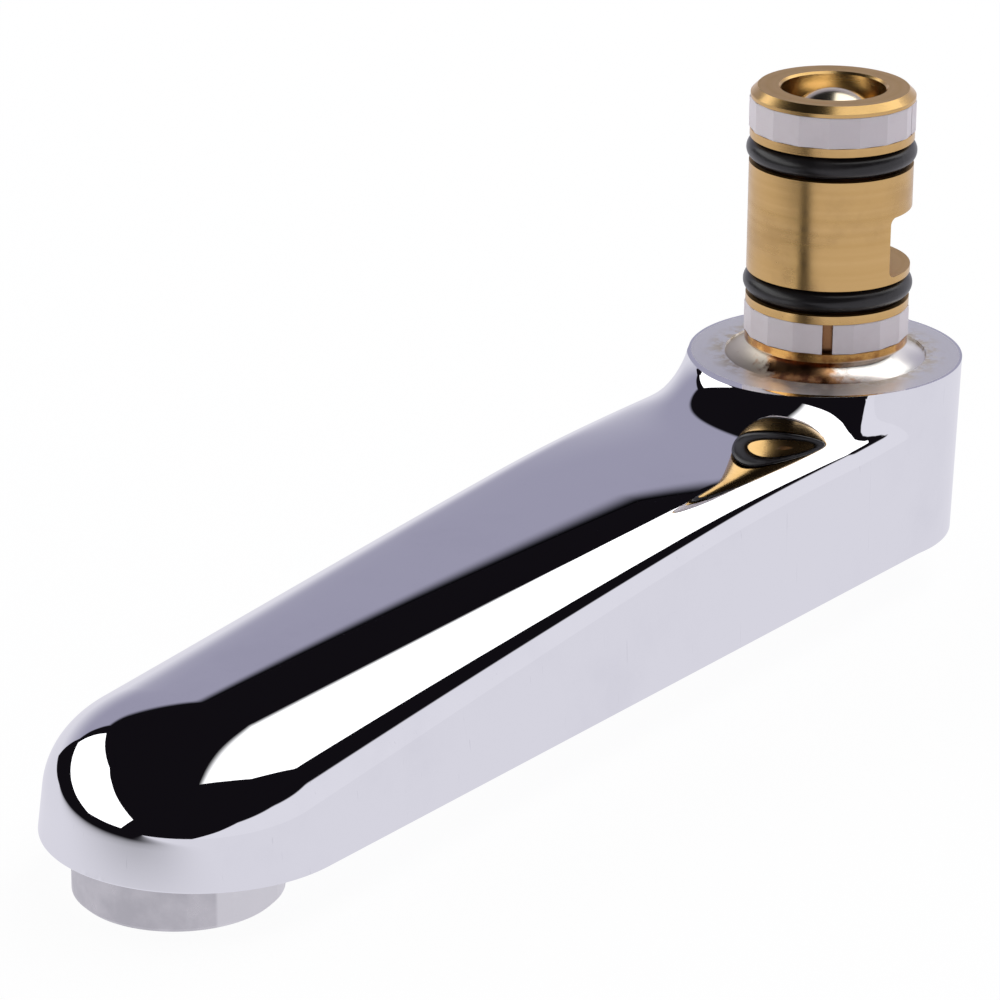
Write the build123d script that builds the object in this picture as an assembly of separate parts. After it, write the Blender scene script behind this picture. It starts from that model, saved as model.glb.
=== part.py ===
import os
from math import cos, pi, radians, sin, tan

from build123d import *

# Swivel spout of a bath mixer: a chromed hollow arm, a brass diverter post on its collar
# and a screw-in aerator under its nose. The origin is on the post axis, on the seat face
# of the collar. Z points up along the post and the arm runs towards -Y. Millimetres.

# Spout body
spout_reach = 132.4
body_height = 24.5
collar_diameter = 37.0
collar_foot_diameter = 35.6
nose_foot_diameter = 38.4
nose_setback = 3.2
rim_round = 0.3

# Arm, seen in sections square to its crest line
arm_slope = 3.35
crest_drop = 0.3
collar_shoulder_width = 36.0
nose_shoulder_width = 34.2
crown_rise = 2.6
collar_shoulder_radius = 6.0
nose_shoulder_radius = 10.0
saddle_rise = 0.25
saddle_steps = 4
saddle_radius = 5.0
wall_tuck = 0.15

# Water way
channel_width = 18.0
channel_top = 11.5
floor_thickness = 3.5
socket_depth = 7.0
throat_diameter = 15.0

# Connector post
barrel_diameter = 22.0
post_height = 37.2
post_chamfer = 0.9
foot_diameter = 20.0
bore_diameter = 14.0
countersink_diameter = 14.6
neck_diameter = 20.4
neck_height = 2.0
braze_width = 3.4
braze_recess = 0.3
lip_height = 1.15
top_lip_height = 1.4
glide_groove_height = 4.2
glide_groove_depth = 1.4
seal_groove_height = 3.5
seal_groove_depth = 2.4
window_bottom = 12.9
window_height = 8.3
window_overcut = 1.6
window_corner = 1.0

# Rings and ball on the post
glide_ring_stand = 0.04
seal_stand = 0.4
upper_ring_split = 0.3
lower_ring_split = 1.4
upper_split_angle = 16.0
lower_split_angle = -55.0
ball_recess = 0.4

# Aerator
thread_diameter = 24.0
thread_depth = 6.0
aerator_diameter = 25.0
aerator_drop = 6.6
aerator_chamfer = 0.6
flat_depth = 0.6
flat_height = 5.0
housing_wall = 1.7
housing_lip = 1.2
housing_lip_height = 0.8
washer_height = 1.5
cage_wall = 1.1
cage_flange = 1.2
jet_plate_height = 1.4
jet_plate_level = 8.0
jet_hole_diameter = 1.2
jet_spacing = 3.2
jet_ring_count = 2
jet_hole_count = 6
grid_height = 3.0
grid_cell = 2.6
grid_web = 0.5
screen_height = 0.8
screen_hole = 1.4
screen_pitch = 2.1
hole_margin = 0.75

# Clearances
braze_gap = 0.05
thread_gap = 0.1
ring_gap = 0.05
insert_gap = 0.05

# Derived places
collar_radius = collar_diameter / 2
collar_foot_radius = collar_foot_diameter / 2
nose_radius = nose_foot_diameter / 2
nose_reach = spout_reach - nose_setback
barrel_radius = barrel_diameter / 2
bore_radius = bore_diameter / 2
flare_radius = neck_diameter / 2 + braze_width
underside = -body_height
slope = tan(radians(arm_slope))
lower_glide_bottom = neck_height + lip_height
lower_seal_bottom = lower_glide_bottom + glide_groove_height + lip_height
upper_glide_bottom = post_height - top_lip_height - glide_groove_height
upper_seal_bottom = upper_glide_bottom - lip_height - seal_groove_height


def ring(outer, inner, bottom, top):
    """A plain ring about the Z axis."""
    middle = (bottom + top) / 2
    return Pos(0, 0, middle) * (Cylinder(outer, top - bottom) - Cylinder(inner, top - bottom))


def at_outlet(shape):
    """Moves a shape from the post axis to the outlet axis."""
    return Pos(0, -spout_reach, 0) * shape


def between(start, end, share):
    return start + (end - start) * share


def section_plane(reach, lift=0):
    """Plane square to the crest line at one reach, with its origin on the crest."""
    crest = Vector(0, -reach, -crest_drop - slope * reach + lift)
    tilt = radians(arm_slope)
    return Plane(origin=crest, x_dir=(1, 0, 0), z_dir=(0, -cos(tilt), -sin(tilt)))


def section_sketch(reach):
    """Inverted U of the arm at one reach, with its crest at the origin and spare length below."""
    share = reach / nose_reach
    shoulder = between(collar_shoulder_width / 2, nose_shoulder_width / 2, share)
    foot = between(collar_foot_radius - wall_tuck, nose_radius, share)
    radius = between(collar_shoulder_radius, nose_shoulder_radius, share)
    wall_height = body_height - crest_drop - slope * reach - crown_rise
    depth = body_height + nose_radius * slope
    foot += (foot - shoulder) * (depth - crown_rise - wall_height) / wall_height
    outline = Polyline((-shoulder, -crown_rise), (-foot, -depth), (foot, -depth), (shoulder, -crown_rise))
    outline += ThreePointArc((shoulder, -crown_rise), (0, 0), (-shoulder, -crown_rise))
    sketch = make_face(outline)
    return fillet(sketch.vertices().group_by(Axis.Y)[-1], radius)


def saddle():
    """First stretch of the arm, whose crest swings up to the collar rim."""
    length = 2 * collar_radius
    sections = []
    for step in range(saddle_steps + 1):
        share = step / saddle_steps
        lift = saddle_rise * (1 + cos(pi * share)) / 2
        sections.append(section_plane(length * share, lift) * section_sketch(length * share))
    return loft(sections)


def straight_arm():
    ends = (2 * collar_radius, nose_reach)
    return loft([section_plane(reach) * section_sketch(reach) for reach in ends], ruled=True)


def nose():
    """Round nose: half of the last arm section turned about its own middle line."""
    reach = 2 * nose_radius
    half = section_sketch(nose_reach) & Pos(reach / 2, 0) * Rectangle(reach, 4 * body_height)
    plane = section_plane(nose_reach)
    return revolve(plane * half, Axis(plane.origin, plane.y_dir), -180)


def collar():
    outline = Polyline(
        (0, 0), (collar_radius, 0), (collar_foot_radius, underside), (0, underside), close=True
    )
    cone = revolve(Plane.XZ * make_face(outline), Axis.Z)
    return fillet(cone.edges().group_by(Axis.Z)[-1], rim_round)


def water_way():
    """Socket for the post with its braze recess, throat, long channel and threaded outlet."""
    recess = Pos(0, 0, -braze_recess / 2) * Cylinder(flare_radius + braze_gap, braze_recess)
    socket = Pos(0, 0, -socket_depth / 2) * Cylinder(foot_diameter / 2 + braze_gap, socket_depth)
    throat = Pos(0, 0, -channel_top / 2) * Cylinder(throat_diameter / 2, channel_top)
    channel_floor = underside + floor_thickness
    slot = Rot(0, 0, 90) * SlotCenterToCenter(spout_reach, channel_width)
    channel = extrude(Pos(0, -spout_reach / 2, channel_floor) * slot, -channel_top - channel_floor)
    outlet = at_outlet(Pos(0, 0, underside + thread_depth / 2) * Cylinder(thread_diameter / 2, thread_depth))
    return recess + socket + throat + channel + outlet


def spout_body():
    below = Pos(0, 0, underside - body_height / 2) * Box(4 * spout_reach, 4 * spout_reach, body_height)
    arm = saddle() + straight_arm() + nose() - below
    casting = collar() + arm
    collar_wall = casting.faces().filter_by(GeomType.CONE).sort_by(Axis.Y)[-1]
    junction = collar_wall.edges().filter_by(GeomType.BSPLINE)
    return fillet(junction, saddle_radius) - water_way()


def groove(depth, bottom, height):
    return ring(barrel_radius + depth, barrel_radius - depth, bottom, bottom + height)


def connector_post():
    neck = neck_diameter / 2
    foot = foot_diameter / 2
    outline = Polyline((0, -socket_depth), (foot, -socket_depth), (foot, -braze_recess), (flare_radius, -braze_recess))
    outline += RadiusArc((flare_radius, -braze_recess), (neck, neck_height), braze_width + neck_height)
    outline += Polyline(
        (neck, neck_height),
        (barrel_radius, neck_height),
        (barrel_radius, post_height - post_chamfer),
        (barrel_radius - post_chamfer, post_height),
        (0, post_height),
        (0, -socket_depth),
    )
    post = revolve(Plane.XZ * make_face(outline), Axis.Z)
    for bottom in (lower_glide_bottom, upper_glide_bottom):
        post -= groove(glide_groove_depth, bottom, glide_groove_height)
    for bottom in (lower_seal_bottom, upper_seal_bottom):
        post -= groove(seal_groove_depth, bottom, seal_groove_height)
    bore_length = post_height + socket_depth
    post -= Pos(0, 0, post_height - bore_length / 2) * Cylinder(bore_radius, bore_length)
    flare_depth = (countersink_diameter - bore_diameter) / 2
    post -= Pos(0, 0, post_height - flare_depth / 2) * Cone(bore_radius, countersink_diameter / 2, flare_depth)
    return post - window()


def window():
    """Milled side opening that lets the water in, on the side away from the arm."""
    reach = barrel_radius + window_overcut
    cutter = Box(2 * barrel_diameter, 2 * reach, window_height)
    inner = cutter.edges().filter_by(Axis.X).group_by(Axis.Y)[0]
    cutter = fillet(inner, window_corner)
    return Pos(0, reach - window_overcut, window_bottom + window_height / 2) * cutter


def glide_ring(groove_bottom, split, split_angle):
    """Split plastic bearing ring in its groove."""
    root = barrel_radius - glide_groove_depth + ring_gap
    outer = barrel_radius + glide_ring_stand
    band = ring(outer, root, groove_bottom + ring_gap, groove_bottom + glide_groove_height - ring_gap)
    cutter = Rot(0, 0, split_angle) * Pos(outer, 0, 0) * Box(2 * outer, split, 4 * post_height)
    return band - cutter


def seal_ring(groove_bottom):
    """Round rubber ring that sits on the groove floor and stands proud of the barrel."""
    section = (seal_groove_depth + seal_stand) / 2
    centre = barrel_radius + seal_stand - section
    return Pos(0, 0, groove_bottom + seal_groove_height / 2) * Torus(centre, section)


def plug_ball():
    return Pos(0, 0, post_height - ball_recess - bore_radius) * Sphere(bore_radius - ring_gap)


def aerator_levels():
    """Top of the washer, top of the insert flange, lip and bottom of the housing."""
    seat = underside + thread_depth
    flange_top = seat - washer_height
    bottom = underside - aerator_drop
    return seat, flange_top, bottom + housing_lip_height, bottom


def aerator_housing():
    seat, flange_top, lip_top, bottom = aerator_levels()
    thread = thread_diameter / 2 - thread_gap
    outer = aerator_diameter / 2
    inner = thread - housing_wall
    sleeve = ring(thread, inner, lip_top, flange_top - cage_flange)
    skirt = ring(outer, inner - housing_lip, bottom, lip_top) + ring(outer, inner, lip_top, underside)
    skirt = chamfer(skirt.edges().group_by(Axis.Z)[0].sort_by(SortBy.LENGTH)[-1], aerator_chamfer)
    for side in (-1, 1):
        offset = side * (outer - flat_depth + outer)
        skirt -= Pos(offset, 0, bottom + flat_height / 2) * Box(2 * outer, 4 * outer, flat_height)
    return at_outlet(skirt + sleeve)


def insert_radius():
    return thread_diameter / 2 - thread_gap - housing_wall - insert_gap


def aerator_cage():
    """Tube of the plastic insert, hung by its flange on the housing."""
    seat, flange_top, lip_top, bottom = aerator_levels()
    outer = insert_radius()
    flange = ring(outer + housing_wall, outer - cage_wall, flange_top - cage_flange, flange_top)
    return at_outlet(flange + ring(outer, outer - cage_wall, lip_top, flange_top - cage_flange))


def aerator_washer():
    seat, flange_top, lip_top, bottom = aerator_levels()
    return at_outlet(ring(insert_radius() + housing_wall, channel_width / 2, flange_top, seat))


def jet_plate():
    """Plate with rings of fine holes that split the water into jets."""
    seat, flange_top, lip_top, bottom = aerator_levels()
    radius = insert_radius() - cage_wall - insert_gap
    plate = Cylinder(radius, jet_plate_height)
    for index in range(jet_ring_count):
        places = PolarLocations(jet_spacing * (index + 1), jet_hole_count * (index + 1))
        plate -= places * Cylinder(jet_hole_diameter / 2, jet_plate_height)
    return at_outlet(Pos(0, 0, bottom + jet_plate_level) * plate)


def hex_holes(radius, cell, pitch, height):
    """Hexagonal holes on a honeycomb pattern that stay inside a radius."""
    rows = int(radius / pitch) + 1
    hole = extrude(RegularPolygon(cell / 2, 6, major_radius=False, rotation=30), height / 2, both=True)
    places = []
    for row in range(-rows, rows + 1):
        for column in range(-rows, rows + 1):
            x = pitch * (column + row / 2)
            y = pitch * row * sin(pi / 3)
            if (x * x + y * y) ** 0.5 < radius:
                places.append(Pos(x, y, 0) * hole)
    return places


def outlet_grid():
    """Honeycomb at the mouth that straightens the jet."""
    seat, flange_top, lip_top, bottom = aerator_levels()
    radius = insert_radius() - cage_wall - insert_gap
    grid = Cylinder(radius, grid_height)
    grid -= hex_holes(radius - grid_cell * hole_margin, grid_cell, grid_cell + grid_web, grid_height)
    return at_outlet(Pos(0, 0, lip_top + grid_height / 2) * grid)


def inlet_screen():
    """Dirt screen that lies on the flange, inside the washer."""
    seat, flange_top, lip_top, bottom = aerator_levels()
    radius = channel_width / 2 - insert_gap
    screen = Cylinder(radius, screen_height)
    screen -= hex_holes(radius - screen_pitch * hole_margin, screen_hole, screen_pitch, screen_height)
    return at_outlet(Pos(0, 0, flange_top + screen_height / 2) * screen)


pieces = {
    "spout_body": spout_body,
    "connector_post": connector_post,
    "plug_ball": plug_ball,
    "lower_glide_ring": lambda: glide_ring(lower_glide_bottom, lower_ring_split, lower_split_angle),
    "upper_glide_ring": lambda: glide_ring(upper_glide_bottom, upper_ring_split, upper_split_angle),
    "lower_o_ring": lambda: seal_ring(lower_seal_bottom),
    "upper_o_ring": lambda: seal_ring(upper_seal_bottom),
    "aerator_housing": aerator_housing,
    "aerator_cage": aerator_cage,
    "aerator_washer": aerator_washer,
    "inlet_screen": inlet_screen,
    "jet_plate": jet_plate,
    "outlet_grid": outlet_grid,
}

if __name__ == "__main__":
    os.makedirs("parts", exist_ok=True)
    for name, make in pieces.items():
        export_step(make(), f"parts/{name}.step")
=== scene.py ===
import math

import bpy
import numpy as np
from mathutils import Matrix, Vector


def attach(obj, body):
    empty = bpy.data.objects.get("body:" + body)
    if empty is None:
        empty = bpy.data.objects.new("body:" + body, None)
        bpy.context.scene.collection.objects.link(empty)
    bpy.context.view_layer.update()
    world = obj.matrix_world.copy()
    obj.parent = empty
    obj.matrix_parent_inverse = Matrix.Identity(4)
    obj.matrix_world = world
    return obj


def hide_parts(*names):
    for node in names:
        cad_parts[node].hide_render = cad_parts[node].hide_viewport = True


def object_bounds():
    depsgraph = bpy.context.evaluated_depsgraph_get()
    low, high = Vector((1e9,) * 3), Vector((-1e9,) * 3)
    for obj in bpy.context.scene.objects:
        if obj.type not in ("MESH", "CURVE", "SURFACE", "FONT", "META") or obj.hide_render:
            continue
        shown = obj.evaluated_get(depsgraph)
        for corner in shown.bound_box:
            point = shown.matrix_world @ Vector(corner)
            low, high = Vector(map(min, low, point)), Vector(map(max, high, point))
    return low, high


# Looks of the chromed swivel spout: finishes for every piece, and a small product studio with an
# overhead softbox, a softbox at the left and a curved paper sweep, as the chrome in the photograph shows.

MM = 0.001

# Studio, in metres, with its colours
STUDIO_SIZE = 2.0
SOFTBOX_STRENGTH = 1.7
WHITE = (1.0, 1.0, 1.0, 1.0)
PALE = (0.78, 0.77, 0.84, 1.0)
DARK = (0.006, 0.005, 0.007, 1.0)

# Form of the cast body, in millimetres
NOSE_REACH = 129.2
COLLAR_RADIUS = 18.5
COLLAR_TAPER = 0.7 / 24.5
BODY_HEIGHT = 24.5
ARM_SLOPE = math.radians(3.35)
CREST_DROP = 0.8
SADDLE_DIP = 1.0
SADDLE_LENGTH = 44.0
SADDLE_RADII = (7.0, 1.5)
SADDLE_REACH = (6.0, 16.0)
CROWN_RISES = (1.2, 2.9)
SADDLE_CROWN = 0.8
SADDLE_FADE = 9.0
POLISH_ROUNDS = 240
SHOULDER_WIDTHS = (18.0, 17.1)
SHOULDER_RADII = (5.2, 13.0)
FOOT_WIDTHS = (17.65, 19.2)
SKIN_GRAIN = 0.6
ROUND_SIDES = 96

# Water way of the body, in millimetres: the channel's radius, length, top and bottom, and for
# each bore its radius, top, bottom and reach
OUTLET_REACH = 132.4
CHANNEL = (9.0, OUTLET_REACH, -11.5, -21.0)
BORES = (
    (13.65, 1.0, -0.3, 0.0),
    (10.05, 1.0, -7.0, 0.0),
    (7.5, 1.0, -12.0, 0.0),
    (12.0, -18.5, -30.0, OUTLET_REACH),
)

# Post and seat, in millimetres
FLARE_RADIUS = 13.6
SEAT_RADIUS = 18.2

# Bearing rings, in millimetres, and for each its name, the node it replaces, its bottom, top and
# split, and the angle of the split in degrees
RING_FLATS = 17
RING_CORNER = 11.13
RING_ROOT = 9.65
RINGS = (
    ("lower_bearing_ring", "lower_glide_ring", 3.2, 7.3, 1.4, -55.0),
    ("upper_bearing_ring", "upper_glide_ring", 31.65, 35.75, 0.3, 16.0),
)

# Camera: its distance from the seat point, and how far it stands to the left and below, in millimetres
CAMERA_AWAY = 636.83
CAMERA_LEFT = 44.05
CAMERA_BELOW = 20.19


# Node helpers


def add_node(tree, kind, **settings):
    """Adds a node, and sets its properties and, by name, its inputs."""
    made = tree.nodes.new(kind)
    for name, value in settings.items():
        if hasattr(made, name):
            setattr(made, name, value)
        else:
            made.inputs[name.replace("_", " ")].default_value = value
    return made


def feed(tree, value, socket):
    """Links a socket, or sets a plain value."""
    if isinstance(value, bpy.types.NodeSocket):
        tree.links.new(value, socket)
    else:
        socket.default_value = value


def maths(tree, operation, *values, clamp=False):
    made = tree.nodes.new("ShaderNodeMath")
    made.operation = operation
    made.use_clamp = clamp
    for value, socket in zip(values, made.inputs):
        feed(tree, value, socket)
    return made.outputs[0]


def mix_colour(tree, factor, first, second):
    made = tree.nodes.new("ShaderNodeMix")
    made.data_type = "RGBA"
    feed(tree, factor, made.inputs[0])
    feed(tree, first, made.inputs[6])
    feed(tree, second, made.inputs[7])
    return made.outputs[2]


def mix_value(tree, factor, first, second):
    made = tree.nodes.new("ShaderNodeMix")
    feed(tree, factor, made.inputs[0])
    feed(tree, first, made.inputs[2])
    feed(tree, second, made.inputs[3])
    return made.outputs[0]


def fade(tree, value, start, end):
    """0 before start, 1 after end, smooth between."""
    made = tree.nodes.new("ShaderNodeMapRange")
    made.interpolation_type = "SMOOTHSTEP"
    feed(tree, value, made.inputs[0])
    made.inputs[1].default_value = start
    made.inputs[2].default_value = end
    return made.outputs[0]


def noise(tree, vector, scale, detail=4.0, roughness=0.5):
    made = add_node(tree, "ShaderNodeTexNoise", Scale=scale, Detail=detail, Roughness=roughness)
    tree.links.new(vector, made.inputs["Vector"])
    return made.outputs["Fac"]


def new_group(name, inputs, outputs):
    """Empty shader group with named sockets."""
    tree = bpy.data.node_groups.new(name, "ShaderNodeTree")
    for label, kind, value in inputs:
        socket = tree.interface.new_socket(label, in_out="INPUT", socket_type=kind)
        if value is not None:
            socket.default_value = value
    for label, kind in outputs:
        tree.interface.new_socket(label, in_out="OUTPUT", socket_type=kind)
    return tree, tree.nodes.new("NodeGroupInput"), tree.nodes.new("NodeGroupOutput")


def use_group(tree, group, **values):
    made = tree.nodes.new("ShaderNodeGroup")
    made.node_tree = group
    for name, value in values.items():
        feed(tree, value, made.inputs[name.replace("_", " ")])
    return made.outputs


def object_place(tree):
    """Object coordinates, their parts and the distance from the post axis."""
    place = tree.nodes.new("ShaderNodeTexCoord").outputs["Object"]
    parts = tree.nodes.new("ShaderNodeSeparateXYZ")
    tree.links.new(place, parts.inputs[0])
    x, y, z = parts.outputs
    squares = maths(tree, "ADD", maths(tree, "MULTIPLY", x, x), maths(tree, "MULTIPLY", y, y))
    return place, x, y, z, maths(tree, "SQRT", squares)


def bump(tree, height, distance, strength=1.0):
    made = add_node(tree, "ShaderNodeBump", Strength=strength, Distance=distance)
    tree.links.new(height, made.inputs["Height"])
    return made.outputs["Normal"]


def new_finish(name):
    """New material with its shader."""
    finish = bpy.data.materials.new(name)
    finish.use_nodes = True
    tree = finish.node_tree
    return finish, tree, tree.nodes["Principled BSDF"]


# Shared effects


def make_tool_marks():
    """Fine lathe lines: a height that changes only along one distance."""
    inputs = [("Along", "NodeSocketFloat", 0.0), ("Lines per metre", "NodeSocketFloat", 5000.0)]
    outputs = [("Height", "NodeSocketFloat"), ("Band", "NodeSocketFloat")]
    tree, start, end = new_group("tool_marks", inputs, outputs)
    along = maths(tree, "MULTIPLY", start.outputs["Along"], start.outputs["Lines per metre"])
    fine = add_node(tree, "ShaderNodeTexNoise", noise_dimensions="1D", Scale=1.0, Detail=2.0)
    tree.links.new(along, fine.inputs["W"])
    broad = add_node(tree, "ShaderNodeTexNoise", noise_dimensions="1D", Scale=0.12, Detail=1.0)
    tree.links.new(along, broad.inputs["W"])
    tree.links.new(fine.outputs["Fac"], end.inputs["Height"])
    tree.links.new(broad.outputs["Fac"], end.inputs["Band"])
    return tree


def make_handling():
    """Smudges and fine wipe lines of a part that has been handled."""
    inputs = [("Place", "NodeSocketVector", None), ("Scale", "NodeSocketFloat", 60.0)]
    outputs = [("Smudge", "NodeSocketFloat"), ("Scratch", "NodeSocketFloat")]
    tree, start, end = new_group("handling", inputs, outputs)
    cloud = add_node(tree, "ShaderNodeTexNoise", Detail=5.0, Roughness=0.6)
    tree.links.new(start.outputs["Place"], cloud.inputs["Vector"])
    tree.links.new(start.outputs["Scale"], cloud.inputs["Scale"])
    tree.links.new(fade(tree, cloud.outputs["Fac"], 0.45, 0.75), end.inputs["Smudge"])
    turn = add_node(tree, "ShaderNodeMapping")
    turn.inputs["Rotation"].default_value = (0.4, 0.9, 0.5)
    turn.inputs["Scale"].default_value = (1.0, 1.0, 0.03)
    tree.links.new(start.outputs["Place"], turn.inputs["Vector"])
    hair = add_node(tree, "ShaderNodeTexNoise", Scale=2600.0, Detail=2.0)
    tree.links.new(turn.outputs[0], hair.inputs["Vector"])
    thin = fade(tree, hair.outputs["Fac"], 0.70, 0.80)
    tree.links.new(thin, end.inputs["Scratch"])
    return tree


# Cast body


def rounded(first, second, cosine, radius):
    """Signed distance of two faces that meet in an edge rounded to a radius."""
    a = first + radius
    b = second + radius
    on_round = (a > cosine * b) & (b > cosine * a)
    away = np.sqrt(np.maximum(a * a + b * b - 2.0 * cosine * a * b, 0.0) / np.maximum(1.0 - cosine**2, 1e-3))
    return np.where(on_round, away - radius, np.maximum(first, second))


def arm_distance(points):
    """Signed distance to the crowned arm and its round nose."""
    x, y, z = points.T
    along = -y * math.cos(ARM_SLOPE) - (z + CREST_DROP) * math.sin(ARM_SLOPE)
    height = (z + CREST_DROP) * math.cos(ARM_SLOPE) - y * math.sin(ARM_SLOPE)
    reach = along * math.cos(ARM_SLOPE)
    share = np.clip(reach / NOSE_REACH, 0.0, 1.0)
    swing = np.clip((reach - COLLAR_RADIUS / 2) / SADDLE_LENGTH, 0.0, 1.0)
    height = height + SADDLE_DIP * (1.0 + np.cos(math.pi * swing)) / 2.0
    beyond = np.maximum(along - NOSE_REACH / math.cos(ARM_SLOPE), 0.0) + np.maximum(y, 0.0)
    across = np.hypot(x, beyond)
    shoulder = np.interp(share, (0, 1), SHOULDER_WIDTHS)
    foot = np.interp(share, (0, 1), FOOT_WIDTHS)
    rise = np.interp(share**3.5, (0, 1), CROWN_RISES)
    rise += SADDLE_CROWN * np.exp(-np.maximum(reach - COLLAR_RADIUS, 0.0) / SADDLE_FADE)
    crown = (shoulder**2 + rise**2) / (2.0 * rise)
    stretch = np.hypot(across, height + crown)
    wall = BODY_HEIGHT - CREST_DROP - math.tan(ARM_SLOPE) * NOSE_REACH * share - rise
    lean = (foot - shoulder) / wall
    upright = 1.0 / np.sqrt(1.0 + lean**2)
    side = (across - shoulder + lean * (rise + height)) * upright
    cosine = (across + (height + crown) * lean) * upright / stretch
    return rounded(stretch - crown, side, cosine, np.interp(share**2, (0, 1), SHOULDER_RADII))


def slopes(distance, points, step=0.02):
    """Direction in which a distance grows."""
    parts = []
    for axis in np.eye(3) * step:
        parts.append((distance(points + axis) - distance(points - axis)) / (2.0 * step))
    return np.stack(parts, axis=1)


def body_distance(points):
    """Signed distance to the arm, the collar and the saddle between them, which tightens to the sides."""
    x, y, z = points.T
    radius = np.maximum(np.hypot(x, y), 1e-6)
    collar = (radius - COLLAR_RADIUS - COLLAR_TAPER * z) / math.hypot(1.0, COLLAR_TAPER)
    outward = np.stack([x / radius, y / radius, np.full_like(x, -COLLAR_TAPER)], axis=1)
    cosine = np.clip((slopes(arm_distance, points) * outward).sum(axis=1), -0.99, 1.0)
    saddle = np.interp(np.abs(x), SADDLE_REACH, SADDLE_RADII)
    return -rounded(-arm_distance(points), -collar, cosine, saddle)


def settle(body, rounds):
    """Moves the points of a rough form onto the body's skin, all but its spare ends."""
    points = np.empty(len(body.data.vertices) * 3)
    body.data.vertices.foreach_get("co", points)
    points = points.reshape(-1, 3) / MM
    kept = (points[:, 2] < 4.0) & (points[:, 2] > -27.0)
    skin = points[kept]
    for _ in range(rounds):
        slope = slopes(body_distance, skin)
        length = np.maximum((slope**2).sum(axis=1), 0.2)
        skin -= np.clip(body_distance(skin) / length, -2.0, 2.0)[:, None] * slope
    points[kept] = skin
    for level in (0.0, -BODY_HEIGHT):
        points[np.abs(points[:, 2] - level) < 0.15, 2] = level
    body.data.vertices.foreach_set("co", (points * MM).ravel())
    body.data.update()


def eased(value, start, end):
    """1 before start, 0 after end, smooth between."""
    share = np.clip((end - value) / (end - start), 0.0, 1.0)
    return share * share * (3.0 - 2.0 * share)


def polish_saddle(body):
    """Wears the saddle and the shoulders beside it into each other, as the buffing wheel does."""
    mesh = body.data
    points = np.empty(len(mesh.vertices) * 3)
    mesh.vertices.foreach_get("co", points)
    points = points.reshape(-1, 3) / MM
    ends = np.empty(len(mesh.edges) * 2, dtype=np.int64)
    mesh.edges.foreach_get("vertices", ends)
    first, second = ends.reshape(-1, 2).T
    count = np.bincount(ends, minlength=len(points))
    x, y, z = points.T
    outside = np.hypot(x, y) - COLLAR_RADIUS
    weight = eased(outside, 4.0, 26.0) * eased(-z, 6.0, 13.0) * eased(z, 0.0, 1.5) * eased(y, -15.0, -3.0)
    weight *= eased(np.abs(x), 8.0, 17.0)
    pull = 0.5 * weight / np.maximum(count, 1)
    for _ in range(POLISH_ROUNDS):
        gap = points[second] - points[first]
        for axis in range(3):
            lean = np.bincount(first, gap[:, axis], len(points))
            lean -= np.bincount(second, gap[:, axis], len(points))
            points[:, axis] += pull * lean
    mesh.vertices.foreach_set("co", (points * MM).ravel())
    mesh.update()


def choose(piece, wanted):
    """Goes into edit mode with the points selected that a test wants."""
    bpy.ops.object.select_all(action="DESELECT")
    piece.select_set(True)
    bpy.context.view_layer.objects.active = piece
    bpy.ops.object.mode_set(mode="EDIT")
    bpy.ops.mesh.select_mode(type="VERT")
    bpy.ops.mesh.select_all(action="DESELECT")
    bpy.ops.object.mode_set(mode="OBJECT")
    for vertex in piece.data.vertices:
        vertex.select = wanted(vertex.co)
    bpy.ops.object.mode_set(mode="EDIT")


def long_slot(radius, length, top, bottom):
    """Round-ended block from the post axis towards the nose, in millimetres."""
    bpy.ops.object.select_all(action="DESELECT")
    middle = (0.0, 0.0, (top + bottom) / 2 * MM)
    size = {"vertices": ROUND_SIDES, "radius": radius * MM, "depth": (top - bottom) * MM}
    bpy.ops.mesh.primitive_cylinder_add(**size, location=middle)
    slot = bpy.context.object
    bpy.ops.object.transform_apply(location=True, rotation=True, scale=True)
    choose(slot, lambda place: place.y < -1e-6)
    bpy.ops.transform.translate(value=(0.0, -length * MM, 0.0))
    bpy.ops.object.mode_set(mode="OBJECT")
    return slot


def bore(radius, top, bottom, reach):
    """Round cutter at one reach along the arm, in millimetres."""
    bpy.ops.object.select_all(action="DESELECT")
    middle = (0.0, -reach * MM, (top + bottom) / 2 * MM)
    size = {"vertices": ROUND_SIDES, "radius": radius * MM, "depth": (top - bottom) * MM}
    bpy.ops.mesh.primitive_cylinder_add(**size, location=middle)
    return bpy.context.object


def cut_away(piece, cutter):
    change = piece.modifiers.new("cut", "BOOLEAN")
    change.operation = "DIFFERENCE"
    change.solver = "EXACT"
    change.object = cutter
    bpy.context.view_layer.objects.active = piece
    bpy.ops.object.modifier_apply(modifier=change.name)
    bpy.data.objects.remove(cutter)


def break_edge(piece, level, offset):
    """Rounds the sharp edge round a flat cut face."""
    choose(piece, lambda place: False)
    bpy.ops.mesh.select_mode(type="EDGE")
    bpy.ops.object.mode_set(mode="OBJECT")
    rim = set()
    for face in piece.data.polygons:
        if abs(face.normal.z) > 0.999 and abs(face.center.z - level) < 1e-6:
            rim.update(face.edge_keys)
    for edge in piece.data.edges:
        edge.select = edge.key in rim
    bpy.ops.object.mode_set(mode="EDIT")
    bpy.ops.mesh.bevel(offset=offset, segments=3, affect="EDGES", clamp_overlap=True)
    bpy.ops.object.mode_set(mode="OBJECT")


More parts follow.
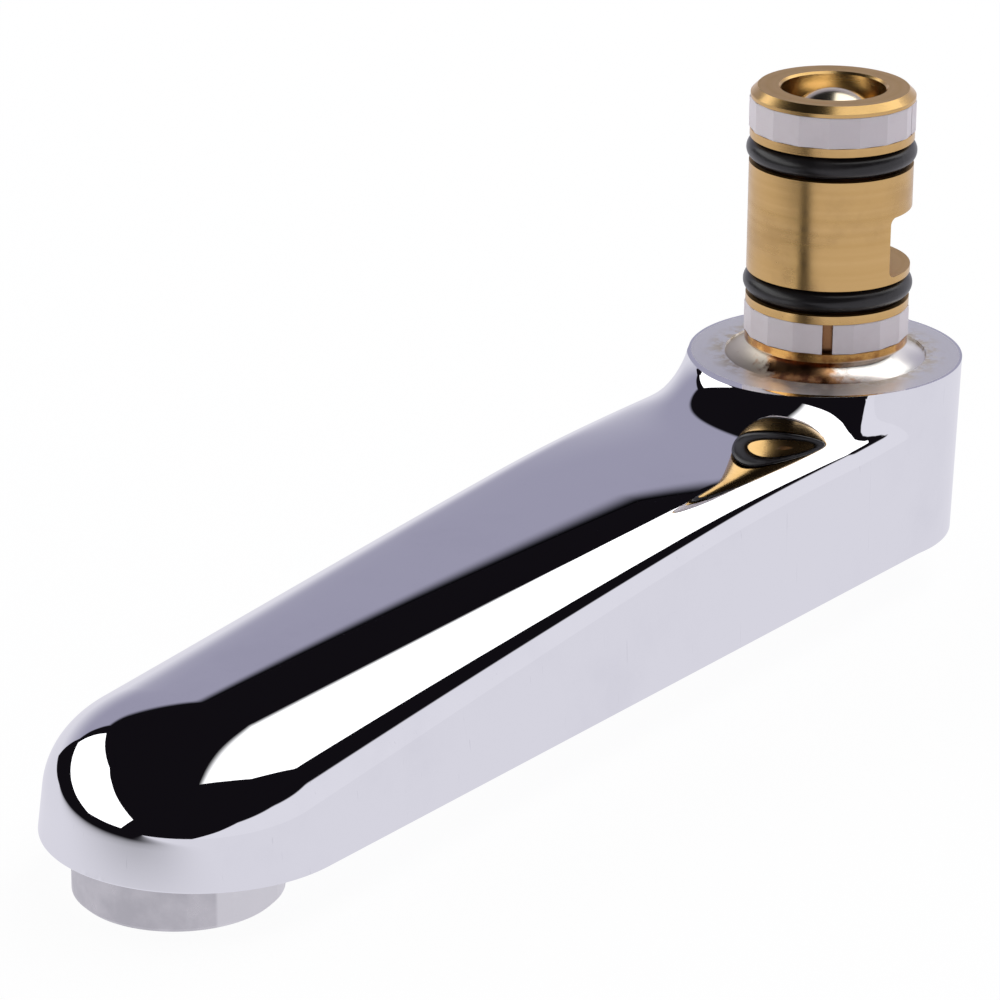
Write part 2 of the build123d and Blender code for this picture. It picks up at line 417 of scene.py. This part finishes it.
def polished_body():
    """Cast arm, nose and collar in one smooth skin, cut flat above and below, with its water way."""
    body = long_slot(18.3, NOSE_REACH, 6.0, -28.0)
    body.name = "polished_body"
    choose(body, lambda place: True)
    bpy.ops.mesh.bisect(plane_co=(0.0, -20.0 * MM, 0.0), plane_no=(0.0, 1.0, 0.0))
    bpy.ops.object.mode_set(mode="OBJECT")
    for vertex in body.data.vertices:
        if vertex.co.z > 0 and vertex.co.y < -19.0 * MM:
            vertex.co.z = -1.0 * MM + math.tan(ARM_SLOPE) * vertex.co.y
    body.data.remesh_voxel_size = SKIN_GRAIN * MM
    bpy.ops.object.voxel_remesh()
    settle(body, 10)
    choose(body, lambda place: True)
    bpy.ops.mesh.vertices_smooth(factor=0.5, repeat=6)
    bpy.ops.object.mode_set(mode="OBJECT")
    settle(body, 4)
    polish_saddle(body)
    for level, side in ((0.0, 1.0), (-BODY_HEIGHT * MM, -1.0)):
        choose(body, lambda place: True)
        cut = {"plane_co": (0.0, 0.0, level), "plane_no": (0.0, 0.0, side)}
        bpy.ops.mesh.bisect(clear_outer=True, use_fill=True, threshold=1e-7, **cut)
        bpy.ops.object.mode_set(mode="OBJECT")
        break_edge(body, level, 0.3 * MM)
    cut_away(body, long_slot(*CHANNEL))
    for size in BORES:
        cut_away(body, bore(*size))
    bpy.ops.object.select_all(action="DESELECT")
    body.select_set(True)
    bpy.context.view_layer.objects.active = body
    bpy.ops.object.shade_smooth_by_angle(angle=math.radians(28.0))
    even = body.modifiers.new("even_shading", "WEIGHTED_NORMAL")
    even.keep_sharp = True
    even.weight = 90
    bpy.ops.object.modifier_apply(modifier=even.name)
    body.data.materials.clear()
    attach(body, "root")
    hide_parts("spout_body")
    return body


# Bearing rings


def bearing_ring(name, node, bottom, top, split, angle):
    """Split ring bent from a strip with moulded flats, with the split at an angle in degrees."""
    bpy.ops.object.select_all(action="DESELECT")
    middle = (top + bottom) / 2 * MM
    size = {"vertices": RING_FLATS, "radius": RING_CORNER * MM, "depth": (top - bottom) * MM}
    bpy.ops.mesh.primitive_cylinder_add(**size, location=(0.0, 0.0, middle))
    ring = bpy.context.object
    ring.name = name
    bpy.ops.object.transform_apply(location=True, rotation=True, scale=True)
    cut_away(ring, bore(RING_ROOT, top + 1.0, bottom - 1.0, 0.0))
    turn = math.radians(angle)
    bpy.ops.object.select_all(action="DESELECT")
    place = (math.cos(turn) * RING_CORNER * MM, math.sin(turn) * RING_CORNER * MM, middle)
    bpy.ops.mesh.primitive_cube_add(size=1.0, location=place, rotation=(0.0, 0.0, turn))
    bpy.context.object.scale = (6.0 * MM, split * MM, 10.0 * MM)
    cut_away(ring, bpy.context.object)
    edge = ring.modifiers.new("soft_edges", "BEVEL")
    edge.width = 0.08 * MM
    edge.segments = 2
    edge.limit_method = "ANGLE"
    edge.angle_limit = math.radians(40.0)
    bpy.ops.object.select_all(action="DESELECT")
    ring.select_set(True)
    bpy.context.view_layer.objects.active = ring
    bpy.ops.object.modifier_apply(modifier=edge.name)
    bpy.ops.object.shade_smooth_by_angle(angle=math.radians(12.0))
    ring.data.materials.clear()
    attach(ring, "root")
    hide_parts(node)
    return ring


# Finishes


def polished_chrome(handling, tool_marks):
    """Mirror plating on the body, with a lapped and stained seat face on the collar."""
    finish, tree, shader = new_finish("polished_chrome")
    place, _, _, z, radius = object_place(tree)
    marks = use_group(tree, handling, Place=place, Scale=45.0)
    on_top = maths(tree, "GREATER_THAN", z, -0.06 * MM)
    in_recess = maths(tree, "LESS_THAN", radius, (FLARE_RADIUS + 0.1) * MM)
    near_post = maths(tree, "MULTIPLY", in_recess, maths(tree, "GREATER_THAN", z, -1.0 * MM))
    inside_rim = fade(tree, radius, (SEAT_RADIUS + 0.1) * MM, (SEAT_RADIUS - 0.1) * MM)
    seat = maths(tree, "MAXIMUM", maths(tree, "MULTIPLY", on_top, inside_rim), near_post)
    lap = use_group(tree, tool_marks, Along=radius, Lines_per_metre=9000.0)
    blotch = noise(tree, place, 420.0, 6.0, 0.65)
    ring = maths(tree, "MULTIPLY", fade(tree, radius, 17.2 * MM, FLARE_RADIUS * MM), seat)
    stain = maths(tree, "MULTIPLY", ring, fade(tree, blotch, 0.42, 0.60))
    powder = maths(tree, "MULTIPLY", ring, fade(tree, noise(tree, place, 900.0, 5.0, 0.7), 0.52, 0.68))
    plate = mix_colour(tree, marks["Smudge"], (0.85, 0.85, 0.875, 1.0), (0.81, 0.81, 0.84, 1.0))
    plate = mix_colour(tree, maths(tree, "MULTIPLY", marks["Scratch"], 0.35), plate, (0.62, 0.62, 0.66, 1.0))
    lapped = mix_colour(tree, lap["Band"], (0.99, 0.985, 0.98, 1.0), (0.93, 0.92, 0.91, 1.0))
    lapped = mix_colour(tree, maths(tree, "MULTIPLY", stain, 0.7), lapped, (0.60, 0.50, 0.38, 1.0))
    lapped = mix_colour(tree, powder, lapped, (0.92, 0.88, 0.80, 1.0))
    feed(tree, mix_colour(tree, seat, plate, lapped), shader.inputs["Base Color"])
    gloss = mix_value(tree, marks["Smudge"], 0.015, 0.035)
    gloss = maths(tree, "ADD", gloss, maths(tree, "MULTIPLY", marks["Scratch"], 0.05))
    dull = mix_value(tree, maths(tree, "MAXIMUM", stain, powder), 0.28, 0.55)
    feed(tree, mix_value(tree, seat, gloss, dull), shader.inputs["Roughness"])
    feed(tree, mix_value(tree, seat, 1.0, 0.86), shader.inputs["Metallic"])
    height = maths(tree, "MULTIPLY", seat, maths(tree, "ADD", lap["Height"], powder))
    feed(tree, bump(tree, height, 0.006 * MM), shader.inputs["Normal"])
    return finish


def turned_brass(handling, tool_marks):
    """Bare turned brass, with the heat colours of the brazed neck below."""
    finish, tree, shader = new_finish("turned_brass")
    place, x, y, z, radius = object_place(tree)
    marks = use_group(tree, handling, Place=place, Scale=110.0)
    lines = use_group(tree, tool_marks, Along=maths(tree, "ADD", z, radius), Lines_per_metre=7000.0)
    bare = mix_colour(tree, lines["Band"], (0.74, 0.485, 0.205, 1.0), (0.65, 0.41, 0.15, 1.0))
    bare = mix_colour(tree, maths(tree, "MULTIPLY", marks["Smudge"], 0.5), bare, (0.50, 0.31, 0.13, 1.0))
    blotch = noise(tree, place, 300.0, 5.0, 0.6)
    # The braze turns silver towards the right: partly the braze's own silver colour, partly a painted
    # highlight where that side catches the light.
    side = maths(tree, "ADD", maths(tree, "MULTIPLY", x, 0.79), maths(tree, "MULTIPLY", y, 0.61))
    wander = maths(tree, "MULTIPLY", maths(tree, "SUBTRACT", blotch, 0.5), 16.0 * MM)
    ragged = maths(tree, "ADD", side, wander)
    silver_braze_and_highlight = fade(tree, ragged, 0.5 * MM, 4.5 * MM)
    residue = fade(tree, ragged, -7.0 * MM, -9.5 * MM)
    oxide = fade(tree, noise(tree, place, 480.0, 5.0, 0.6), 0.42, 0.60)
    copper = mix_colour(tree, oxide, (0.62, 0.33, 0.15, 1.0), (0.22, 0.095, 0.05, 1.0))
    braze = mix_colour(tree, silver_braze_and_highlight, copper, (0.88, 0.85, 0.81, 1.0))
    braze = mix_colour(tree, residue, braze, (0.80, 0.73, 0.63, 1.0))
    heat = mix_colour(tree, oxide, (0.66, 0.36, 0.11, 1.0), (0.40, 0.18, 0.055, 1.0))
    neck = fade(tree, z, 2.3 * MM, 1.8 * MM)
    warm = fade(tree, z, 3.6 * MM, 3.0 * MM)
    # Painted shade: the brass in the bearing ring grooves, behind the rings, is painted dark brown where
    # shade falls there.
    low_grooves = fade(tree, z, 12.4 * MM, 12.1 * MM)
    high_grooves = fade(tree, z, 26.5 * MM, 26.9 * MM)
    high_grooves = maths(tree, "MULTIPLY", high_grooves, fade(tree, z, 36.3 * MM, 35.9 * MM))
    root = fade(tree, radius, 8.2 * MM, 8.4 * MM)
    root = maths(tree, "MULTIPLY", root, fade(tree, radius, 10.4 * MM, 10.1 * MM))
    painted_groove_shade = maths(tree, "MULTIPLY", root, maths(tree, "MAXIMUM", low_grooves, high_grooves))
    colour = mix_colour(tree, warm, bare, heat)
    colour = mix_colour(tree, painted_groove_shade, colour, (0.26, 0.13, 0.06, 1.0))
    feed(tree, mix_colour(tree, neck, colour, braze), shader.inputs["Base Color"])
    facing = tree.nodes.new("ShaderNodeSeparateXYZ")
    tree.links.new(tree.nodes.new("ShaderNodeTexCoord").outputs["Normal"], facing.inputs[0])
    faced = fade(tree, facing.outputs["Z"], 0.85, 0.97)
    rough = mix_value(tree, lines["Band"], 0.20, 0.28)
    rough = maths(tree, "ADD", rough, maths(tree, "MULTIPLY", marks["Smudge"], 0.06))
    rough = maths(tree, "ADD", rough, maths(tree, "MULTIPLY", faced, 0.16))
    rough = mix_value(tree, neck, rough, mix_value(tree, residue, 0.24, 0.50))
    feed(tree, rough, shader.inputs["Roughness"])
    shader.inputs["Metallic"].default_value = 1.0
    height = mix_value(tree, neck, maths(tree, "MULTIPLY", lines["Height"], 0.25), blotch)
    feed(tree, bump(tree, height, 0.012 * MM), shader.inputs["Normal"])
    return finish


def polished_ball(handling):
    finish, tree, shader = new_finish("polished_ball")
    place = object_place(tree)[0]
    marks = use_group(tree, handling, Place=place, Scale=200.0)
    colour = mix_colour(tree, marks["Smudge"], (0.88, 0.77, 0.58, 1.0), (0.80, 0.66, 0.45, 1.0))
    feed(tree, colour, shader.inputs["Base Color"])
    feed(tree, mix_value(tree, marks["Smudge"], 0.20, 0.30), shader.inputs["Roughness"])
    shader.inputs["Metallic"].default_value = 1.0
    return finish


def white_plastic(handling, tool_marks):
    """Bearing ring plastic, slightly see-through, with faint lines from its strip."""
    finish, tree, shader = new_finish("white_plastic")
    place, _, _, z, _ = object_place(tree)
    marks = use_group(tree, handling, Place=place, Scale=140.0)
    lines = use_group(tree, tool_marks, Along=z, Lines_per_metre=4000.0)
    colour = mix_colour(tree, marks["Smudge"], (0.90, 0.825, 0.86, 1.0), (0.84, 0.76, 0.79, 1.0))
    feed(tree, colour, shader.inputs["Base Color"])
    feed(tree, mix_value(tree, lines["Band"], 0.30, 0.46), shader.inputs["Roughness"])
    shader.inputs["Subsurface Weight"].default_value = 0.25
    shader.inputs["Subsurface Radius"].default_value = (1.0, 0.9, 0.9)
    shader.inputs["Subsurface Scale"].default_value = 0.6 * MM
    feed(tree, bump(tree, lines["Height"], 0.01 * MM), shader.inputs["Normal"])
    return finish


def black_rubber(name, tint, handling):
    finish, tree, shader = new_finish(name)
    place = object_place(tree)[0]
    marks = use_group(tree, handling, Place=place, Scale=170.0)
    dusty = tuple(2.2 * part for part in tint)
    feed(tree, mix_colour(tree, marks["Smudge"], (*tint, 1.0), (*dusty, 1.0)), shader.inputs["Base Color"])
    feed(tree, mix_value(tree, marks["Smudge"], 0.30, 0.42), shader.inputs["Roughness"])
    grain = noise(tree, place, 4200.0, 3.0)
    feed(tree, bump(tree, grain, 0.01 * MM), shader.inputs["Normal"])
    return finish


def satin_chrome(handling, tool_marks):
    """Brushed plating of the aerator ring."""
    finish, tree, shader = new_finish("satin_chrome")
    place, x, y, z, _ = object_place(tree)
    marks = use_group(tree, handling, Place=place, Scale=90.0)
    lines = use_group(tree, tool_marks, Along=z, Lines_per_metre=11000.0)
    mottle = fade(tree, noise(tree, place, 240.0, 5.0, 0.6), 0.30, 0.72)
    # Painted highlight: the flat on the right-hand side is painted a paler grey, for the light it catches
    # there.
    out_right = maths(tree, "MULTIPLY", maths(tree, "ADD", y, OUTLET_REACH * MM), 0.61)
    out_right = maths(tree, "ADD", out_right, maths(tree, "MULTIPLY", x, 0.79))
    painted_bright_flat = fade(tree, out_right, 4.9 * MM, 5.4 * MM)
    colour = mix_colour(tree, mottle, (0.64, 0.625, 0.64, 1.0), (0.54, 0.53, 0.55, 1.0))
    feed(tree, mix_colour(tree, painted_bright_flat, colour, (0.76, 0.75, 0.76, 1.0)), shader.inputs["Base Color"])
    rough = mix_value(tree, mottle, 0.26, 0.34)
    rough = maths(tree, "ADD", rough, maths(tree, "MULTIPLY", marks["Smudge"], 0.08))
    feed(tree, rough, shader.inputs["Roughness"])
    shader.inputs["Metallic"].default_value = 1.0
    feed(tree, bump(tree, lines["Height"], 0.0015 * MM), shader.inputs["Normal"])
    return finish


def insert_plastic(handling):
    finish, tree, shader = new_finish("insert_plastic")
    place = object_place(tree)[0]
    marks = use_group(tree, handling, Place=place, Scale=260.0)
    colour = mix_colour(tree, marks["Smudge"], (0.70, 0.71, 0.73, 1.0), (0.60, 0.61, 0.63, 1.0))
    feed(tree, colour, shader.inputs["Base Color"])
    feed(tree, mix_value(tree, marks["Smudge"], 0.38, 0.52), shader.inputs["Roughness"])
    feed(tree, bump(tree, noise(tree, place, 5200.0, 3.0), 0.01 * MM), shader.inputs["Normal"])
    return finish


def dress(nodes):
    """Makes the body and the bearing rings, and gives every piece its finish."""
    handling = make_handling()
    tool_marks = make_tool_marks()
    plastic = white_plastic(handling, tool_marks)
    rubber = black_rubber("black_rubber", (0.012, 0.0105, 0.0115), handling)
    insert = insert_plastic(handling)
    chrome = polished_chrome(handling, tool_marks)
    polished_body().data.materials.append(chrome)
    for ring in RINGS:
        bearing_ring(*ring).data.materials.append(plastic)
    finishes = {
        "spout_body": chrome,
        "connector_post": turned_brass(handling, tool_marks),
        "plug_ball": polished_ball(handling),
        "lower_glide_ring": plastic,
        "upper_glide_ring": plastic,
        "lower_o_ring": rubber,
        "upper_o_ring": rubber,
        "aerator_housing": satin_chrome(handling, tool_marks),
        "aerator_washer": black_rubber("washer_rubber", (0.03, 0.03, 0.03), handling),
        "aerator_cage": insert,
        "inlet_screen": insert,
        "jet_plate": insert,
        "outlet_grid": insert,
    }
    for name, finish in finishes.items():
        for place in nodes[name].material_slots:
            place.material = finish


# Studio


def towards(azimuth, elevation, distance):
    """Point seen from the object at an azimuth from +Y towards +X and an elevation, in degrees."""
    turn, rise = math.radians(azimuth), math.radians(elevation)
    level = math.cos(rise)
    return Vector((math.sin(turn) * level, math.cos(turn) * level, math.sin(rise))) * distance


def glow(name, colour, strength):
    finish = bpy.data.materials.new(name)
    finish.use_nodes = True
    tree = finish.node_tree
    tree.nodes.clear()
    light = add_node(tree, "ShaderNodeEmission", Color=colour, Strength=strength)
    out = tree.nodes.new("ShaderNodeOutputMaterial")
    tree.links.new(light.outputs[0], out.inputs[0])
    return finish


def light_card(name, corners, finish):
    """Flat glowing sheet with the given corners, which the camera doesn't see."""
    bpy.ops.object.select_all(action="DESELECT")
    bpy.ops.mesh.primitive_circle_add(vertices=len(corners), fill_type="NGON")
    card = bpy.context.object
    card.name = name
    for vertex, corner in zip(card.data.vertices, corners):
        vertex.co = corner
    card.data.materials.append(finish)
    card.visible_camera = False
    card.visible_shadow = False
    return card


def overhead_glow():
    """Even light that falls off along the softbox's left edge."""
    finish = glow("overhead_glow", WHITE, SOFTBOX_STRENGTH)
    tree = finish.node_tree
    _, x, y, _, _ = object_place(tree)
    inward = maths(tree, "ADD", maths(tree, "MULTIPLY", x, 0.85), maths(tree, "MULTIPLY", y, 0.53))
    share = fade(tree, inward, -0.01 * STUDIO_SIZE, 0.07 * STUDIO_SIZE)
    level = mix_value(tree, share, 0.05, SOFTBOX_STRENGTH)
    tree.links.new(level, tree.nodes["Emission"].inputs["Strength"])
    return finish


def overhead_softbox():
    """Sheet of light above and to the right of the camera's line."""
    spots = ((0.22, -0.36), (-0.63, 1.01), (-0.10, 1.90), (0.95, 1.75), (0.785, 1.00), (0.55, 0.10))
    corners = [Vector((x, y, 1.0)) * STUDIO_SIZE for x, y in spots]
    light_card("overhead_softbox", corners, overhead_glow())


def left_softbox():
    spots = ((-172, 15), (-165, 2), (-138, 3), (-83, 18), (-77, 34), (-117, 43))
    corners = [towards(azimuth, elevation, STUDIO_SIZE) for azimuth, elevation in spots]
    light_card("left_softbox", corners, glow("left_glow", WHITE, SOFTBOX_STRENGTH))


def paper_glow():
    """Light of the paper sweep: paler low down and at the right, greyer up at the left."""
    finish = bpy.data.materials.new("paper_glow")
    finish.use_nodes = True
    tree = finish.node_tree
    tree.nodes.clear()
    _, x, _, z, _ = object_place(tree)
    left = fade(tree, x, 0.3 * STUDIO_SIZE, -0.3 * STUDIO_SIZE)
    high = fade(tree, z, -0.10 * STUDIO_SIZE, 0.40 * STUDIO_SIZE)
    shade = maths(tree, "MULTIPLY", left, high)
    colour = mix_colour(tree, shade, (0.82, 0.81, 0.88, 1.0), (0.36, 0.35, 0.46, 1.0))
    sheet = tree.nodes.new("ShaderNodeSeparateXYZ")
    tree.links.new(tree.nodes.new("ShaderNodeTexCoord").outputs["UV"], sheet.inputs[0])
    light = tree.nodes.new("ShaderNodeEmission")
    tree.links.new(colour, light.inputs["Color"])
    tree.links.new(fade(tree, sheet.outputs["Y"], 1.0, 0.92), light.inputs["Strength"])
    out = tree.nodes.new("ShaderNodeOutputMaterial")
    tree.links.new(light.outputs[0], out.inputs[0])
    return finish


def paper_sweep(floor_level):
    """Curved sheet of paper behind the object, with a sloping right end."""
    ends = ((-80, 18), (-70, 32), (-40, 31), (0, 32), (40, 25), (85, 24), (115, 16), (130, 7), (147, -1))
    bpy.ops.object.select_all(action="DESELECT")
    bpy.ops.mesh.primitive_grid_add(x_subdivisions=64, y_subdivisions=1, size=2.0)
    sweep = bpy.context.object
    sweep.name = "paper_sweep"
    for vertex in sweep.data.vertices:
        across = (vertex.co.x + 1.0) / 2.0
        azimuth = ends[0][0] + (ends[-1][0] - ends[0][0]) * across
        for (low, first), (high, second) in zip(ends, ends[1:]):
            if low <= azimuth <= high + 1e-6:
                rise = first + (second - first) * (azimuth - low) / (high - low)
        foot = towards(azimuth, 0.0, STUDIO_SIZE)
        top = max(math.tan(math.radians(rise)) * STUDIO_SIZE, floor_level)
        vertex.co = (foot.x, foot.y, top if vertex.co.y > 0 else floor_level)
    sweep.data.materials.append(paper_glow())
    sweep.visible_camera = False
    sweep.visible_shadow = False


def pale_floor(level):
    """Plain pale floor: white to the camera, lavender in the chrome, softly shaded, clear from below."""
    bpy.ops.object.select_all(action="DESELECT")
    bpy.ops.mesh.primitive_plane_add(size=4.0 * STUDIO_SIZE, location=(0.0, 0.0, level))
    floor = bpy.context.object
    floor.name = "floor"
    finish = bpy.data.materials.new("pale_floor")
    finish.use_nodes = True
    tree = finish.node_tree
    shader = tree.nodes["Principled BSDF"]
    shader.inputs["Base Color"].default_value = (0.90, 0.90, 0.91, 1.0)
    shader.inputs["Roughness"].default_value = 0.9
    path = tree.nodes.new("ShaderNodeLightPath")
    light = tree.nodes.new("ShaderNodeEmission")
    _, x, y, _, _ = object_place(tree)
    forward = maths(tree, "SUBTRACT", maths(tree, "MULTIPLY", x, 0.10), y)
    past_edge = maths(tree, "MULTIPLY", fade(tree, forward, 0.15, 0.25), fade(tree, x, 0.06, -0.01))
    paper = mix_colour(tree, past_edge, PALE, DARK)
    seen = mix_colour(tree, path.outputs["Is Camera Ray"], paper, (1.04, 1.04, 1.04, 1.0))
    tree.links.new(seen, light.inputs["Color"])
    share = maths(tree, "MULTIPLY", path.outputs["Is Camera Ray"], 0.90)
    share = maths(tree, "ADD", share, path.outputs["Is Glossy Ray"], clamp=True)
    share = maths(tree, "ADD", share, path.outputs["Is Transmission Ray"], clamp=True)
    blend = tree.nodes.new("ShaderNodeMixShader")
    tree.links.new(share, blend.inputs[0])
    tree.links.new(shader.outputs[0], blend.inputs[1])
    tree.links.new(light.outputs[0], blend.inputs[2])
    clear = tree.nodes.new("ShaderNodeBsdfTransparent")
    one_sided = tree.nodes.new("ShaderNodeMixShader")
    tree.links.new(tree.nodes.new("ShaderNodeNewGeometry").outputs["Backfacing"], one_sided.inputs[0])
    tree.links.new(blend.outputs[0], one_sided.inputs[1])
    tree.links.new(clear.outputs[0], one_sided.inputs[2])
    tree.links.new(one_sided.outputs[0], tree.nodes["Material Output"].inputs[0])
    floor.data.materials.append(finish)


def dark_room():
    """World: white to the camera, near black in reflections, a little fill for the rest."""
    world = bpy.data.worlds.new("dark_room")
    bpy.context.scene.world = world
    world.use_nodes = True
    tree = world.node_tree
    path = tree.nodes.new("ShaderNodeLightPath")
    fill = mix_colour(tree, path.outputs["Is Glossy Ray"], (0.22, 0.22, 0.23, 1.0), DARK)
    shown = mix_colour(tree, path.outputs["Is Camera Ray"], fill, WHITE)
    tree.links.new(shown, tree.nodes["Background"].inputs["Color"])


def photo_camera():
    """Camera of the photograph, placed from where it sees the seat point of the post."""
    azimuth, elevation, roll = math.radians(37.81), math.radians(20.69), math.radians(-0.40)
    back = Vector(
        (
            math.sin(azimuth) * math.cos(elevation),
            -math.cos(azimuth) * math.cos(elevation),
            math.sin(elevation),
        )
    )
    level = Vector((math.cos(azimuth), math.sin(azimuth), 0.0))
    upright = back.cross(level)
    right = level * math.cos(roll) - upright * math.sin(roll)
    up = upright * math.cos(roll) + level * math.sin(roll)
    place = back * CAMERA_AWAY * MM - right * CAMERA_LEFT * MM - up * CAMERA_BELOW * MM
    bpy.ops.object.camera_add()
    camera = bpy.context.object
    camera.name = "photo_camera"
    camera.matrix_world = Matrix.Translation(place) @ Matrix((right, up, back)).transposed().to_4x4()
    camera.data.sensor_width = 36.0
    camera.data.lens = 169.2
    camera.data.clip_start = 0.01
    bpy.context.scene.camera = camera


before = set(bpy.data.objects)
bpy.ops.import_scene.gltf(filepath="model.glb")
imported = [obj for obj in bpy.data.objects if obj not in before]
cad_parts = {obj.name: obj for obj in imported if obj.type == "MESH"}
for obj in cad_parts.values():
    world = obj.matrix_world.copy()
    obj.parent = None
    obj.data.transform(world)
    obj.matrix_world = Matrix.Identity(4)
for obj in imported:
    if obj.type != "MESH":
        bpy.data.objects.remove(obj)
cad_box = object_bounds()
dress(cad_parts)
photo_camera()
floor_level = cad_box[0][2]
pale_floor(floor_level)
overhead_softbox()
left_softbox()
paper_sweep(floor_level)
dark_room()
bpy.context.scene.view_settings.view_transform = "Standard"
